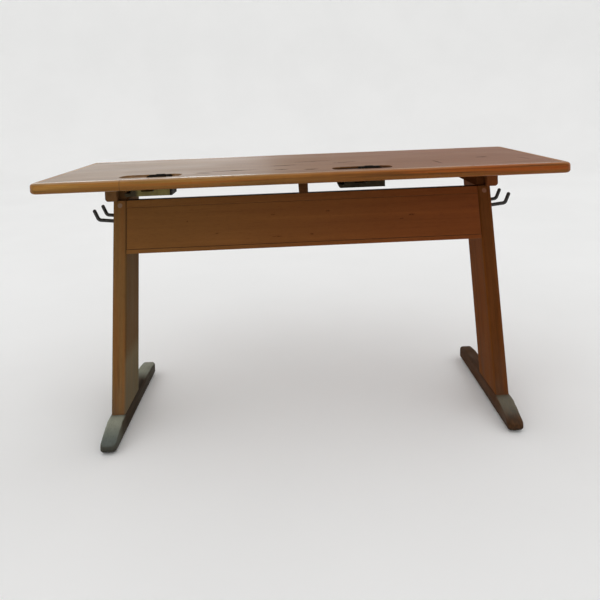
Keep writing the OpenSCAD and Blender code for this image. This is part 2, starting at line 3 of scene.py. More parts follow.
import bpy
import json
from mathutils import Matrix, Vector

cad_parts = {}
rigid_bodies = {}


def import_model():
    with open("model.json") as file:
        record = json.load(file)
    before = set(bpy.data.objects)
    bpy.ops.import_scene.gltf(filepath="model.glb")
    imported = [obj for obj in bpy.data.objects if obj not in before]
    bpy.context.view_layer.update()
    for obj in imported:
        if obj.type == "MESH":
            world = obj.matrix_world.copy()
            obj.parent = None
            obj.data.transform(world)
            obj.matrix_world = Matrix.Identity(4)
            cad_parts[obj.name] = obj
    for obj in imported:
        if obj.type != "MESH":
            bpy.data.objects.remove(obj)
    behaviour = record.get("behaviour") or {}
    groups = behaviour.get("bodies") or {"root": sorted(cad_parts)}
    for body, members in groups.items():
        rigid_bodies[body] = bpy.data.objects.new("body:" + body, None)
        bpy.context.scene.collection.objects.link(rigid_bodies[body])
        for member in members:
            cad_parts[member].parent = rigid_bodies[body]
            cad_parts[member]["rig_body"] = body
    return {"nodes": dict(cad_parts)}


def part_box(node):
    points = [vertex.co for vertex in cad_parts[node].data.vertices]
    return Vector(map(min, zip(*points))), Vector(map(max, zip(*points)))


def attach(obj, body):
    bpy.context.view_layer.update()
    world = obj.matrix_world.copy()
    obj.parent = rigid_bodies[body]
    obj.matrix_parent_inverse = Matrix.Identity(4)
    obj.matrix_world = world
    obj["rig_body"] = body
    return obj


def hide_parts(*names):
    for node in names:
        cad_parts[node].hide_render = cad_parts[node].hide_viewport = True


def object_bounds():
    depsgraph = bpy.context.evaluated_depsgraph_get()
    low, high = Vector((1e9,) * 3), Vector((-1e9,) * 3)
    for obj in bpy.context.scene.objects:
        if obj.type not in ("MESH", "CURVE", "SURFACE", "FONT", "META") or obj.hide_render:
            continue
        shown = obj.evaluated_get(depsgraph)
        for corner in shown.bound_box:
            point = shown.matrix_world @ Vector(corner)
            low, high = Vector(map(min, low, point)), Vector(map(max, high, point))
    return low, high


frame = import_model()
CAD_BOX = [list(corner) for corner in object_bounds()]

import json
import math

import bmesh
import bpy
from mathutils import Matrix, Vector, noise

MM = 0.001
SIDES = ("left", "right")
TOP_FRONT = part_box("front_lipping_right")[0].y
TOP_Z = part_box("core_panel")[1].z
TOE_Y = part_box("left_foot")[0].y
FOOT_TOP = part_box("left_foot")[1].z
RAKE = math.radians(12.4)  # the legs and the apron lean back by this much
LEG_SETBACK = 43 * MM  # from the top's front edge to the legs, where they meet the feet
LIGHT_ACROSS_TO = 0.8 * CAD_BOX[1][0]  # the painted light across the desk changes from this far left to this far right
HALVES_MEET = 0.2  # the desk's halves blend between this far left and this far right


# ---- node trees ----

GRAIN_TURN = {
    "x": (0, 0, 0),
    "y": (0, 0, -math.pi / 2),
    "raked": (RAKE, math.pi / 2, 0),
}


def toned(colour, factor):
    return tuple(c * factor for c in colour)


class Tree:
    """A material's node tree, with short calls for the nodes used here."""

    def __init__(self, name):
        self.name = name
        self.material = bpy.data.materials.new(name)
        self.material.use_nodes = True
        self.tree = self.material.node_tree
        self.tree.nodes.clear()
        self.coords = self.node("ShaderNodeTexCoord").outputs["Object"]

    def node(self, kind, inputs=None, **props):
        made = self.tree.nodes.new(kind)
        for key, value in props.items():
            setattr(made, key, value)
        for key, value in (inputs or {}).items():
            self.put(made.inputs[key], value)
        return made

    def put(self, socket, value):
        if isinstance(value, bpy.types.NodeSocket):
            self.tree.links.new(value, socket)
        elif socket.type == "RGBA":
            socket.default_value = (*value, 1)
        else:
            socket.default_value = value

    def math(self, operation, a, b=0.0, clamp=False):
        return self.node(
            "ShaderNodeMath", {0: a, 1: b}, operation=operation, use_clamp=clamp
        ).outputs[0]

    def times(self, *values):
        product = values[0]
        for value in values[1:]:
            product = self.math("MULTIPLY", product, value)
        return product

    def grained(self, grain, location):
        """The object's space turned so that X runs along the grain."""
        return self.node(
            "ShaderNodeMapping",
            {
                "Vector": self.coords,
                "Rotation": GRAIN_TURN[grain],
                "Location": location,
            },
        ).outputs[0]

    def noise(self, space, scale, detail, roughness, distortion=0.0):
        stretched = self.node(
            "ShaderNodeVectorMath", {0: space, 1: scale}, operation="MULTIPLY"
        ).outputs[0]
        return self.node(
            "ShaderNodeTexNoise",
            {
                "Vector": stretched,
                "Scale": 1.0,
                "Detail": detail,
                "Roughness": roughness,
                "Distortion": distortion,
            },
        ).outputs[0]

    def axis(self, name):
        return self.node("ShaderNodeSeparateXYZ", {0: self.coords}).outputs[name]

    def normal(self, name):
        facing = self.node("ShaderNodeNewGeometry").outputs["Normal"]
        return self.node("ShaderNodeSeparateXYZ", {0: facing}).outputs[name]

    def ramp(self, value, low, high, to_low=0.0, to_high=1.0):
        """value from low..high onto to_low..to_high, held outside."""
        return self.node(
            "ShaderNodeMapRange",
            {
                "Value": value,
                "From Min": low,
                "From Max": high,
                "To Min": to_low,
                "To Max": to_high,
            },
            interpolation_type="SMOOTHSTEP",
        ).outputs[0]

    def by_side(self, left, right):
        """One value on the desk's left half and another on its right half."""
        return self.ramp(self.axis("X"), -HALVES_MEET, HALVES_MEET, left, right)

    def mix(self, factor, a, b, blend="MIX"):
        made = self.node("ShaderNodeMix", data_type="RGBA", blend_type=blend)
        for index, value in ((0, factor), (6, a), (7, b)):
            self.put(made.inputs[index], value)
        return made.outputs[2]

    def end_to_end(self, left, right):
        """A colour that changes from the desk's left end to its right end."""
        return self.mix(self.ramp(self.axis("X"), -LIGHT_ACROSS_TO, LIGHT_ACROSS_TO), left, right)

    def bump(self, height, distance, strength):
        inputs = {"Height": height, "Distance": distance, "Strength": strength}
        return self.node("ShaderNodeBump", inputs).outputs[0]

    def edges(self, radius):
        """1 on a convex or concave edge, 0 on flat faces."""
        bevel = self.node("ShaderNodeBevel", {"Radius": radius}, samples=4).outputs[0]
        true = self.node("ShaderNodeNewGeometry").outputs["Normal"]
        dot = self.node(
            "ShaderNodeVectorMath", {0: bevel, 1: true}, operation="DOT_PRODUCT"
        ).outputs["Value"]
        return self.ramp(dot, 0.98, 0.80)

    def finish(self, **inputs):
        """The given name and the material. inputs are named as in base_color.

        Blender's own name may differ, since the CAD uses some of the names too."""
        named = {
            key.replace("_", " ").title().replace("Ior", "IOR"): value
            for key, value in inputs.items()
        }
        shader = self.node("ShaderNodeBsdfPrincipled", named)
        output = self.node("ShaderNodeOutputMaterial")
        self.tree.links.new(shader.outputs[0], output.inputs["Surface"])
        return self.name, self.material


# ---- woods ----


class Wood(Tree):
    """Varnished wood: figure, fibres, pores and blotches, with marks of use on top.

    figure is the strength of the figure, offset picks another place in the pattern and
    uneven is the spread of the gloss. Each layer covers the ones before it."""

    def __init__(
        self, name, grain, tone, contrast, rough, figure=1.0, offset=0.0, uneven=0.06
    ):
        super().__init__(name)
        self.tone = tone
        self.along = self.grained(grain, (offset, offset * 0.37, offset * 0.71))
        wander = self.noise(self.along, (1.3, 5, 5), 2, 0.5)
        bands = self.noise(self.along, (1.1, 62, 38), 3, 0.55, 0.5)
        fibres = self.noise(self.along, (9, 520, 520), 3, 0.6)
        streaks = self.noise(self.along, (3.2, 190, 150), 4, 0.65)
        self.blotch = self.noise(self.along, (3, 9, 9), 4, 0.6)
        pores = self.ramp(self.noise(self.along, (75, 1500, 1500), 1, 0.4), 0.60, 0.70)

        parts = (
            (bands, 0.55 * figure),
            (streaks, 0.35 * figure),
            (fibres, 0.22),
            (wander, 0.25),
        )
        value = 0.0
        for part, weight in parts:
            value = self.math("ADD", value, self.times(part, weight))
        middle = 0.5 * sum(weight for part, weight in parts)
        darker, lighter = toned(tone, 1 - contrast), toned(tone, 1 + contrast)
        self.colour = self.mix(
            self.ramp(value, middle - 0.17, middle + 0.01), darker, tone
        )
        self.roughness = self.ramp(
            self.blotch, 0.3, 0.7, rough - uneven, rough + 1.5 * uneven
        )
        self.height = self.math(
            "ADD", self.times(fibres, 0.5), self.times(streaks, 0.5)
        )
        self.layer(self.ramp(value, middle - 0.01, middle + 0.19), lighter)
        self.layer(
            self.ramp(self.blotch, 0.35, 0.75, 0, 0.5), toned(tone, 1 - 0.7 * contrast)
        )
        self.layer(pores, toned(tone, 0.35), share=0.35, depth=0.6)

    def layer(self, mask, colour, share=1.0, dull=0.0, depth=0.0, blend="MIX"):
        """Up to share of a colour where the mask is 1, and a duller, deeper surface."""
        factor = mask if share == 1 else self.times(mask, share)
        self.colour = self.mix(factor, self.colour, colour, blend)
        if dull:
            more = self.times(mask, dull)
            self.roughness = self.math("ADD", self.roughness, more, clamp=True)
        if depth:
            self.height = self.math("SUBTRACT", self.height, self.times(mask, depth))
        return self

    def warmed(self, share):
        """Redder flames along the grain."""
        flame = self.ramp(self.noise(self.along, (2.2, 110, 110), 3, 0.6), 0.47, 0.62)
        red, green, blue = self.tone
        return self.layer(flame, (red * 1.2, green * 0.74, blue * 0.5), share)

    def lit_from_left(self, left, right):
        """Painted light across the desk: tints of its lit left end and its shaded right
        end.
        """
        return self.layer(1.0, self.end_to_end(left, right), blend="MULTIPLY")

    def sideways(self):
        """1 on faces towards the left or the right."""
        return self.ramp(self.math("ABSOLUTE", self.normal("X")), 0.5, 0.9)

    def sides_lit_and_shaded(self, left, right):
        """Painted light on the faces towards the sides: painted shade at the left end,
        warmer painted light at the right end.
        """
        return self.layer(
            self.sideways(), self.end_to_end(left, right), blend="MULTIPLY"
        )

    def greyed_near_foot(self):
        """Greyer, bluer patches near the foot, on the left leg's flat faces only."""
        low = self.ramp(self.axis("Z"), 205 * MM, 155 * MM)
        patchy = self.ramp(self.blotch, 0.2, 0.6, 0.6, 1)
        mask = self.times(self.sideways(), low, self.by_side(1, 0), patchy)
        return self.layer(mask, (1.35, 1.85, 2.7), blend="MULTIPLY")

    def scratched(self, amount):
        fine = self.noise(self.along, (2.3, 330, 330), 2, 0.7)
        coarse = self.noise(self.along, (4.1, 130, 130), 1, 0.5, 0.4)
        cuts = self.math(
            "MAXIMUM", self.ramp(fine, 0.69, 0.73), self.ramp(coarse, 0.70, 0.73)
        )
        places = self.ramp(self.noise(self.along, (5, 11, 11), 3, 0.6), 0.42, 0.60)
        mask = self.times(cuts, places, amount)
        return self.layer(mask, toned(self.tone, 0.2), dull=0.25, depth=1.6)

    def mark(self, centre, size, angle):
        """1 in the ragged strokes of a bruise or scratch: centre, half sizes, turn."""
        place = self.node(
            "ShaderNodeMapping",
            {
                "Vector": self.coords,
                "Location": centre,
                "Rotation": (0, 0, angle),
                "Scale": size,
            },
            vector_type="TEXTURE",
        ).outputs[0]
        far = self.node(
            "ShaderNodeVectorMath", {0: place}, operation="LENGTH"
        ).outputs["Value"]
        ragged = self.times(self.noise(self.coords, (70, 260, 260), 3, 0.7), 2.0)
        strokes = self.ramp(self.noise(place, (1.2, 5.5, 0), 4, 0.8), 0.40, 0.52)
        inside = self.ramp(self.math("ADD", far, ragged), 2.15, 1.55)
        return self.times(inside, strokes)

    def bruised(self, marks, share):
        for centre, size, angle in marks:
            mask = self.mark(centre, size, angle)
            self.layer(mask, toned(self.tone, 0.10), share, dull=0.4, depth=1.2)
        return self

    def rubbed(self, amount, worn):
        """Edges worn through to a paler wood."""
        broken = self.ramp(self.noise(self.along, (22, 60, 60), 4, 0.65), 0.36, 0.62)
        mask = self.times(self.edges(4 * MM), broken, amount)
        return self.layer(mask, worn, dull=0.2)

    def soiled(self, amount):
        """Floor dirt near the feet."""
        near = self.ramp(self.axis("Z"), 220 * MM, 20 * MM)
        patchy = self.ramp(self.noise(self.along, (6, 24, 24), 4, 0.6), 0.30, 0.70)
        mask = self.times(near, patchy, amount)
        return self.layer(mask, (0.088, 0.078, 0.062), dull=0.15)

    def tray_floors_lit_and_shaded(self):
        """The pen trays' floors: painted light, paler and bluer, in the left one, and
        near-black painted shade in the right one.
        """
        under = self.ramp(self.axis("Z"), TOP_Z - 0.5 * MM, TOP_Z - 3.5 * MM)
        above = self.ramp(self.axis("Z"), TOP_Z - 9 * MM, TOP_Z - 7 * MM)
        on_right = self.ramp(self.axis("X"), -HALVES_MEET, 0.5 * HALVES_MEET)
        floor = self.mix(on_right, (1.25, 1.35, 1.65), (0.26, 0.26, 0.26))
        mask = self.times(under, above, 0.95)
        return self.layer(mask, floor, dull=0.25, blend="MULTIPLY")

    def shaded_under_lit_above(self, share):
        """Painted shade under the edge of the top, and a patchy painted highlight along
        its rounded top.
        """
        shade_below = self.ramp(self.axis("Z"), TOP_Z - 9 * MM, TOP_Z - 22 * MM)
        self.layer(shade_below, toned(self.tone, 0.45), share)
        upper = self.ramp(self.axis("Z"), TOP_Z - 5 * MM, TOP_Z - 1 * MM)
        highlight_patches = self.noise(self.along, (4, 8, 8), 3, 0.6)
        mask = self.times(upper, self.ramp(highlight_patches, 0.30, 0.60, 0.3, 1.0))
        pale = self.end_to_end((0.42, 0.30, 0.18), (0.36, 0.175, 0.060))
        return self.layer(mask, pale, share)

    def shaded_above(self, share):
        """Painted shade: faces that look up, under the top, are nearly black."""
        upward = self.ramp(self.normal("Z"), 0.35, 0.85)
        return self.layer(upward, toned(self.tone, 0.08), share)

    def varnished(self, specular, relief=0.5):
        return self.finish(
            base_color=self.colour,
            roughness=self.roughness,
            normal=self.bump(self.height, 0.00035, relief),
            specular_ior_level=specular,
        )


def seam(name, colour):
    """Old glue, wax and dust packed into a joint between two pieces of wood."""
    t = Tree(name)
    crumbs = t.noise(t.coords, (300, 300, 300), 4, 0.7)
    fill = t.mix(t.ramp(crumbs, 0.35, 0.70), toned(colour, 0.6), toned(colour, 1.5))
    return t.finish(
        base_color=fill,
        roughness=0.85,
        normal=t.bump(crumbs, 0.0002, 0.6),
        specular_ior_level=0.1,
    )


def foot_reflection(t):
    """Where a foot gets its grey-green painted reflection, and its colour: mostly the toe,
    and the left foot.
    """
    run = t.math("SUBTRACT", t.axis("Y"), TOE_Y)
    toe = t.ramp(run, 104 * MM, 72 * MM)
    heel = t.times(t.ramp(run, 272 * MM, 352 * MM), t.by_side(0.9, 0.08))
    upward = t.ramp(t.normal("Z"), 0.10, 0.75)
    tip = t.ramp(run, 72 * MM, 22 * MM, 0.06, 0.45)
    right_toe = t.ramp(run, 6 * MM, 36 * MM, 0.12, 0.42)
    mask = t.times(
        t.math("MAXIMUM", toe, heel),
        t.math("MAXIMUM", upward, tip),
        t.by_side(1, right_toe),
    )
    at_tip = t.ramp(run, 67 * MM, 7 * MM)
    return mask, t.mix(at_tip, (0.280, 0.290, 0.228), (0.122, 0.138, 0.122))


def foot_wood(name):
    """The feet's wood: dark stain, with a grey-green painted reflection on top of the toes
    and heels.
    """
    t = Tree(name)
    along = t.grained("y", (3.0, 1.1, 2.1))
    streaks = t.noise(along, (4, 150, 120), 4, 0.6)
    fibres = t.noise(along, (10, 480, 480), 3, 0.6)
    blotch = t.noise(along, (8, 26, 26), 4, 0.6)
    streaky = t.ramp(streaks, 0.3, 0.7)
    stain = t.mix(streaky, (0.028, 0.016, 0.007), (0.058, 0.033, 0.014))
    tint = t.end_to_end((0.72, 0.78, 0.85), (1.5, 1.0, 0.6))
    stain = t.mix(1.0, stain, tint, "MULTIPLY")
    mask, grey = foot_reflection(t)
    colour = t.mix(t.times(mask, t.ramp(blotch, 0.25, 0.60, 0.7, 1.0)), stain, grey)
    dark_fibres = t.times(t.ramp(fibres, 0.5, 0.75), 0.3)
    colour = t.mix(dark_fibres, colour, (0.035, 0.024, 0.013))
    chips = t.ramp(t.noise(t.coords, (120, 60, 120), 3, 0.7), 0.60, 0.68)
    colour = t.mix(t.times(t.edges(6 * MM), chips, 0.4), colour, (0.16, 0.12, 0.08))
    # darker towards the bottom
    darker_low = t.times(t.ramp(t.axis("Z"), 22 * MM, 4 * MM), 0.7)
    colour = t.mix(darker_low, colour, (0.022, 0.018, 0.013))
    height = t.math("ADD", t.times(fibres, 0.5), t.times(streaks, 0.5))
    return t.finish(
        base_color=colour,
        roughness=t.ramp(blotch, 0.3, 0.7, 0.50, 0.70),
        normal=t.bump(height, 0.0005, 0.6),
        specular_ior_level=0.05,
    )


# ---- metals, glass and the floor ----


def box_end_shade(t, colour, left, right):
    """Painted shade on the box: the bearer's shade at its left end, and its right side
    black in painted shade.
    """
    black = t.ramp(t.axis("X"), right - 5.5 * MM, right - 4.8 * MM)
    colour = t.mix(black, colour, (0.01, 0.01, 0.008))
    shade = t.ramp(t.axis("X"), left + 36 * MM, left + 24 * MM, 0, 0.9)
    return t.mix(shade, colour, (0.030, 0.022, 0.014))


def enamel(name, base, chipped, rough, specular, ends=None):
    """Old enamel on sheet or rod: uneven gloss, orange peel, scuffs, bare edges."""
    t = Tree(name)
    mottle = t.noise(t.coords, (70, 70, 70), 4, 0.6)
    peel = t.noise(t.coords, (900, 900, 900), 2, 0.5)
    dust = t.ramp(t.noise(t.coords, (150, 150, 150), 5, 0.7), 0.45, 0.72)
    colour = t.mix(t.ramp(mottle, 0.3, 0.7), toned(base, 0.75), toned(base, 1.25))
    colour = t.mix(t.times(dust, 0.15), colour, toned(base, 2.2))
    broken = t.ramp(t.noise(t.coords, (380, 380, 380), 3, 0.7), 0.44, 0.58)
    bare = t.times(t.edges(1.2 * MM), broken, 0.4)
    colour = t.mix(bare, colour, chipped)
    if ends:
        colour = box_end_shade(t, colour, *ends)
    return t.finish(
        base_color=colour,
        roughness=t.ramp(mottle, 0.3, 0.7, rough - 0.10, rough + 0.12),
        metallic=t.times(bare, 0.8),
        normal=t.bump(peel, 0.00006, 0.5),
        specular_ior_level=specular,
    )


def steel(name, base, rust, rough, tarnish):
    """Plated steel with fine turning marks, dull patches and a little rust."""
    t = Tree(name)
    lines = t.noise(t.coords, (1400, 1400, 120), 2, 0.5)
    patch = t.noise(t.coords, (130, 130, 130), 4, 0.65)
    colour = t.mix(t.ramp(patch, 0.40, 0.70), base, toned(base, 0.6))
    spots = t.ramp(t.noise(t.coords, (240, 240, 240), 5, 0.7), 0.55, 0.70)
    rusty = t.times(spots, tarnish)
    return t.finish(
        base_color=t.mix(rusty, colour, rust),
        metallic=t.math("SUBTRACT", 1.0, rusty, clamp=True),
        roughness=t.ramp(lines, 0.3, 0.7, rough - 0.08, rough + 0.15),
        normal=t.bump(lines, 0.00004, 0.4),
    )


def pot_glass(name):
    """Pressed glass with slight waves, and dried ink inside."""
    t = Tree(name)
    waves = t.noise(t.coords, (90, 90, 60), 3, 0.5)
    stain = t.ramp(t.noise(t.coords, (120, 120, 50), 4, 0.7), 0.45, 0.65)
    return t.finish(
        base_color=t.mix(stain, (0.62, 0.72, 0.70), (0.05, 0.06, 0.16)),
        roughness=t.ramp(stain, 0, 1, 0.08, 0.35),
        transmission_weight=t.ramp(stain, 0, 1, 0.85, 0.15),
        ior=1.5,
        normal=t.bump(waves, 0.0004, 0.4),
    )


def floor_paint(name):
    """The stage's pale paint, very slightly cloudy."""
    t = Tree(name)
    cloudy = t.ramp(t.noise(t.coords, (1.5, 1.5, 1.5), 3, 0.5), 0.3, 0.7)
    return t.finish(
        base_color=t.mix(cloudy, (0.93, 0.93, 0.925), (0.95, 0.95, 0.945)),
        roughness=0.95,
        specular_ior_level=0.1,
    )


# ---- marks left by years of use, in metres ----


def on_top(x, y, long, wide, turn=0.0):
    """A mark on the writing surface, y measured from the top's front edge."""
    return ((x, TOP_FRONT + y, TOP_Z), (long, wide, 0.01), turn)


def on_apron(x, z, long, high):
    """A mark on the apron's face, which leans back with the legs."""
    y = TOP_FRONT + LEG_SETBACK + (z - FOOT_TOP) * math.tan(RAKE)
    return ((x, y, z), (long, 0.02, high), 0.0)


TOP_MARKS = (
    on_top(-0.248, 0.084, 0.022, 0.0070, -0.25),
    on_top(-0.180, 0.109, 0.058, 0.0080, 0.04),
    on_top(-0.056, 0.093, 0.019, 0.0070, -0.05),
    on_top(0.020, 0.074, 0.018, 0.0090),
    on_top(-0.050, 0.185, 0.040, 0.0060, 0.20),
    on_top(0.030, 0.262, 0.055, 0.0055, 0.12),
    on_top(0.115, 0.205, 0.034, 0.0060, 0.25),
    on_top(0.350, 0.126, 0.036, 0.0034, -1.45),
    on_top(0.493, 0.202, 0.018, 0.0080, 0.05),
    on_top(0.583, 0.135, 0.026, 0.0030, -1.3),
)
LIP_MARKS = (
    on_top(-0.196, 0.010, 0.014, 0.0016, -0.9),
    on_top(-0.170, 0.008, 0.011, 0.0016, -1.2),
    on_top(0.210, 0.012, 0.012, 0.0014, -0.6),
)
APRON_MARKS = (
    on_apron(-0.307, 0.507, 0.0022, 0.0022),
    on_apron(-0.083, 0.515, 0.006, 0.0015),
    on_apron(-0.230, 0.474, 0.004, 0.0014),
    on_apron(-0.074, 0.460, 0.014, 0.0014),
    on_apron(0.018, 0.462, 0.005, 0.0022),
    on_apron(0.062, 0.519, 0.006, 0.0022),
    on_apron(0.257, 0.492, 0.006, 0.0016),
    on_apron(0.284, 0.501, 0.009, 0.0022),
)


# ---- materials ----

TOP_TONE = (0.234, 0.118, 0.045)
APRON_TONE = (0.178, 0.068, 0.0160)
LIP_TONE = (0.300, 0.138, 0.028)
LEG_TONE = (0.155, 0.068, 0.0175)
BEARER_TONE = (0.162, 0.073, 0.026)
PLUG_TONE = (0.20, 0.110, 0.062)
# Painted light across the desk: paler and greyer at its left end, where the light and its
# reflection fall, darker and redder at its right end, in painted shade
LIT_ACROSS = ((1.06, 1.18, 1.30), (0.94, 0.64, 0.55))
TOP_LIT_ACROSS = ((1.02, 1.12, 1.20), (0.95, 0.66, 0.52))
LIP_LIT_ACROSS = ((0.98, 1.05, 1.15), (0.93, 0.56, 0.36))
LEG_LIT_ACROSS = ((1.18, 1.37, 1.80), (0.80, 0.59, 0.58))
# Painted shade on the legs' side faces at the left end, warmer painted light at the right
# end
LEG_SIDE_LIGHT = ((0.62, 0.68, 0.72), (1.22, 1.14, 0.66))
OLIVE = (0.150, 0.126, 0.045)
OLIVE_ENDS = [corner.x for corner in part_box("left_ink_box")]

WOODS = (
    Wood("top_veneer", "x", TOP_TONE, 0.24, rough=0.46, uneven=0.02)
    .lit_from_left(*TOP_LIT_ACROSS)
    .scratched(0.5)
    .bruised(TOP_MARKS, 0.9)
    .tray_floors_lit_and_shaded()
    .varnished(0.14, relief=0.08),
    Wood("lipping_x", "x", LIP_TONE, 0.75, rough=0.30, figure=1.2, offset=0.2)
    .warmed(0.55)
    .lit_from_left(*LIP_LIT_ACROSS)
    .scratched(0.6)
    .bruised(LIP_MARKS, 0.9)
    .rubbed(0.4, (0.42, 0.28, 0.14))
    .shaded_under_lit_above(0.6)
    .varnished(0.12),
    Wood("lipping_y", "y", LIP_TONE, 0.75, rough=0.45, figure=1.2, offset=0.4)
    .warmed(0.4)
    .lit_from_left(*LIP_LIT_ACROSS)
    .scratched(0.4)
    .rubbed(0.3, (0.36, 0.24, 0.12))
    .shaded_under_lit_above(0.6)
    .varnished(0.08),
    Wood("apron_veneer", "x", APRON_TONE, 0.22, rough=0.5, figure=0.8, offset=1.3)
    .lit_from_left(*LIT_ACROSS)
    .scratched(0.15)
    .bruised(APRON_MARKS, 0.7)
    .varnished(0.06),
    Wood("rail_beech", "x", toned(APRON_TONE, 1.1), 0.2, rough=0.5, offset=2.1)
    .lit_from_left(*LIT_ACROSS)
    .rubbed(0.3, (0.24, 0.12, 0.045))
    .shaded_above(0.95)
    .varnished(0.06),
    Wood("leg_beech", "raked", LEG_TONE, 0.32, rough=0.52, figure=0.9, offset=0.9)
    .warmed(0.3)
    .lit_from_left(*LEG_LIT_ACROSS)
    .sides_lit_and_shaded(*LEG_SIDE_LIGHT)
    .greyed_near_foot()
    .scratched(0.35)
    .rubbed(0.5, (0.21, 0.12, 0.055))
    .soiled(0.5)
    .varnished(0.01),
    Wood("bearer_beech", "y", BEARER_TONE, 0.25, rough=0.7, offset=1.7)
    .lit_from_left(*LIT_ACROSS)
    .rubbed(0.4, (0.16, 0.09, 0.045))
    .varnished(0.02),
    # Cleats and the centre bearer: the bearers' wood at half its tone, painted shade under
    # the top.
    Wood("cleat_beech", "y", toned(BEARER_TONE, 0.5), 0.25, rough=0.8, offset=2.6)
    .lit_from_left(*LIT_ACROSS)
    .rubbed(0.2, (0.10, 0.06, 0.03))
    .varnished(0.0),
    Wood("plug_wood", "y", PLUG_TONE, 0.3, rough=0.55, figure=0.4, offset=5.0)
    .lit_from_left(*LIT_ACROSS)
    .varnished(0.25),
    foot_wood("foot_beech"),
    seam("seam_dark", (0.030, 0.014, 0.006)),
    seam("seam_brown", (0.062, 0.027, 0.009)),
)
OTHERS = (
    # The two ink boxes are one paint: the left one olive where lit, the right one black in
    # painted shade.
    enamel("box_olive", OLIVE, (0.22, 0.20, 0.15), 0.6, 0.08, OLIVE_ENDS),
    enamel("box_black", (0.024, 0.018, 0.009), (0.09, 0.08, 0.06), 0.6, 0.08),
    enamel("bezel_black", (0.012, 0.009, 0.007), (0.10, 0.08, 0.06), 0.75, 0.0),
    enamel("lid_black", (0.012, 0.010, 0.008), (0.10, 0.09, 0.07), 0.75, 0.0),
    enamel("hook_black", (0.028, 0.025, 0.022), (0.14, 0.11, 0.09), 0.45, 0.4),
    steel("glide_steel", (0.30, 0.29, 0.27), (0.10, 0.05, 0.025), 0.4, 0.7),
    steel("zinc_steel", (0.42, 0.42, 0.40), (0.12, 0.07, 0.04), 0.35, 0.4),
    pot_glass("pot_glass"),
    floor_paint("backdrop"),
)
MATERIALS = dict(WOODS + OTHERS)


# ---- pieces ----

SHORT_EDGE = 4 * MM  # shorter edges are facets of holes and curves, and aren't eased
SHORT_LIP_EDGE = 1 * MM  # a lipping's joint line also runs round its rounded edge
WELD = 1e-6  # points this close are one, in metres
FLAT = math.radians(0.5)  # faces that turn by less become one face
CORNER = math.radians(30)  # edges that turn by more are eased


def link(name, data):
    obj = bpy.data.objects.new(name, data)
    bpy.context.scene.collection.objects.link(obj)
    return obj


def mesh_from(bm, name):
    mesh = bpy.data.meshes.new(name)
    bm.to_mesh(mesh)
    bm.free()
    return mesh


def smooth(mesh, sharp_from=180):
    """Smooth shading, broken at edges that turn by more than sharp_from degrees."""
    for polygon in mesh.polygons:
        polygon.use_smooth = True
    mesh.set_sharp_from_angle(angle=math.radians(sharp_from))


def stand_in(obj, node):
    """obj is shown in place of a CAD node and moves with its body."""
    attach(obj, frame["nodes"][node]["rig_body"])
    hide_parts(node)


def eased(node, material, ease, edge):
    """The CAD node's shape again with its long edges eased, standing in for the node.

    edge names the material of the eased strips, where they belong to a joint."""
    shortest = SHORT_LIP_EDGE if "lipping" in node else SHORT_EDGE
    bm = bmesh.new()
    bm.from_mesh(frame["nodes"][node].data)
    bmesh.ops.remove_doubles(bm, verts=bm.verts, dist=WELD)
    bmesh.ops.dissolve_limit(bm, angle_limit=FLAT, verts=bm.verts, edges=bm.edges)
    sharp = [
        e
        for e in bm.edges
        if len(e.link_faces) == 2
        and e.calc_length() > shortest
        and e.calc_face_angle(0) > CORNER
    ]
    bmesh.ops.bevel(
        bm, geom=sharp, offset=ease, segments=3, profile=0.5,
        affect="EDGES", clamp_overlap=False, material=1 if edge else -1,
    )
    mesh = mesh_from(bm, "fine_" + node)
    smooth(mesh, sharp_from=38)
    mesh.materials.append(MATERIALS[material])
    if edge:
        mesh.materials.append(MATERIALS[edge])
    obj = link("fine_" + node, mesh)
    obj.modifiers.new("weighted", "WEIGHTED_NORMAL").keep_sharp = True
    stand_in(obj, node)


def paint(node, material):
    """A better material on a CAD node that keeps its own mesh."""
    mesh = frame["nodes"][node].data
    for index in range(len(mesh.materials)):
        mesh.materials[index] = MATERIALS[material]


TOP_PIECES = {  # node: material, width of the eased edges in mm, material of the joints
    "core_panel": ("top_veneer", 0.35, "seam_dark"),
    "front_lipping_left": ("lipping_x", 0.5, "seam_brown"),
    "front_lipping_right": ("lipping_x", 0.5, "seam_brown"),
    "back_lipping": ("lipping_x", 0.4, "seam_dark"),
    "left_lipping": ("lipping_y", 0.4, "seam_dark"),
    "right_lipping": ("lipping_y", 0.4, "seam_dark"),
}
EASED = {
    **TOP_PIECES,
    "apron_panel": ("apron_veneer", 0.9, "seam_brown"),
    "apron_top_rail": ("rail_beech", 0.9, None),
    "apron_bottom_lipping": ("rail_beech", 0.9, None),
    "left_apron_cleat": ("cleat_beech", 0.8, None),
    "right_apron_cleat": ("cleat_beech", 0.8, None),
    "left_bearer": ("bearer_beech", 1.2, None),
    "right_bearer": ("bearer_beech", 1.2, None),
    "left_cleat": ("cleat_beech", 1.0, None),
    "right_cleat": ("cleat_beech", 1.0, None),
    "centre_bearer": ("cleat_beech", 1.2, None),
    "left_leg": ("leg_beech", 1.2, None),
    "right_leg": ("leg_beech", 1.2, None),
}
PAINTED = {
    "left_ink_box": "box_olive",
    "right_ink_box": "box_black",
    "leg_plugs": "plug_wood",
    "foot_glides": "glide_steel",
}
for side in SIDES:
    PAINTED[side + "_bezel"] = "bezel_black"
    PAINTED[side + "_lid"] = "lid_black"
    PAINTED[side + "_ink_pot"] = "pot_glass"
    PAINTED[side + "_hinge_pin"] = "zinc_steel"
    for end in ("front", "rear"):
        PAINTED[side + "_" + end + "_hook"] = "hook_black"
for group in (
    "leg_bolts", "barrel_nuts", "bearer_screws", "top_screws", "apron_screws",
    "foot_bolts", "ink_box_screws", "bezel_screws",
):
    PAINTED[group] = "zinc_steel"

for node, (material, ease, edge) in EASED.items():
    eased(node, material, ease * MM, edge)
for node, material in PAINTED.items():
    paint(node, material)


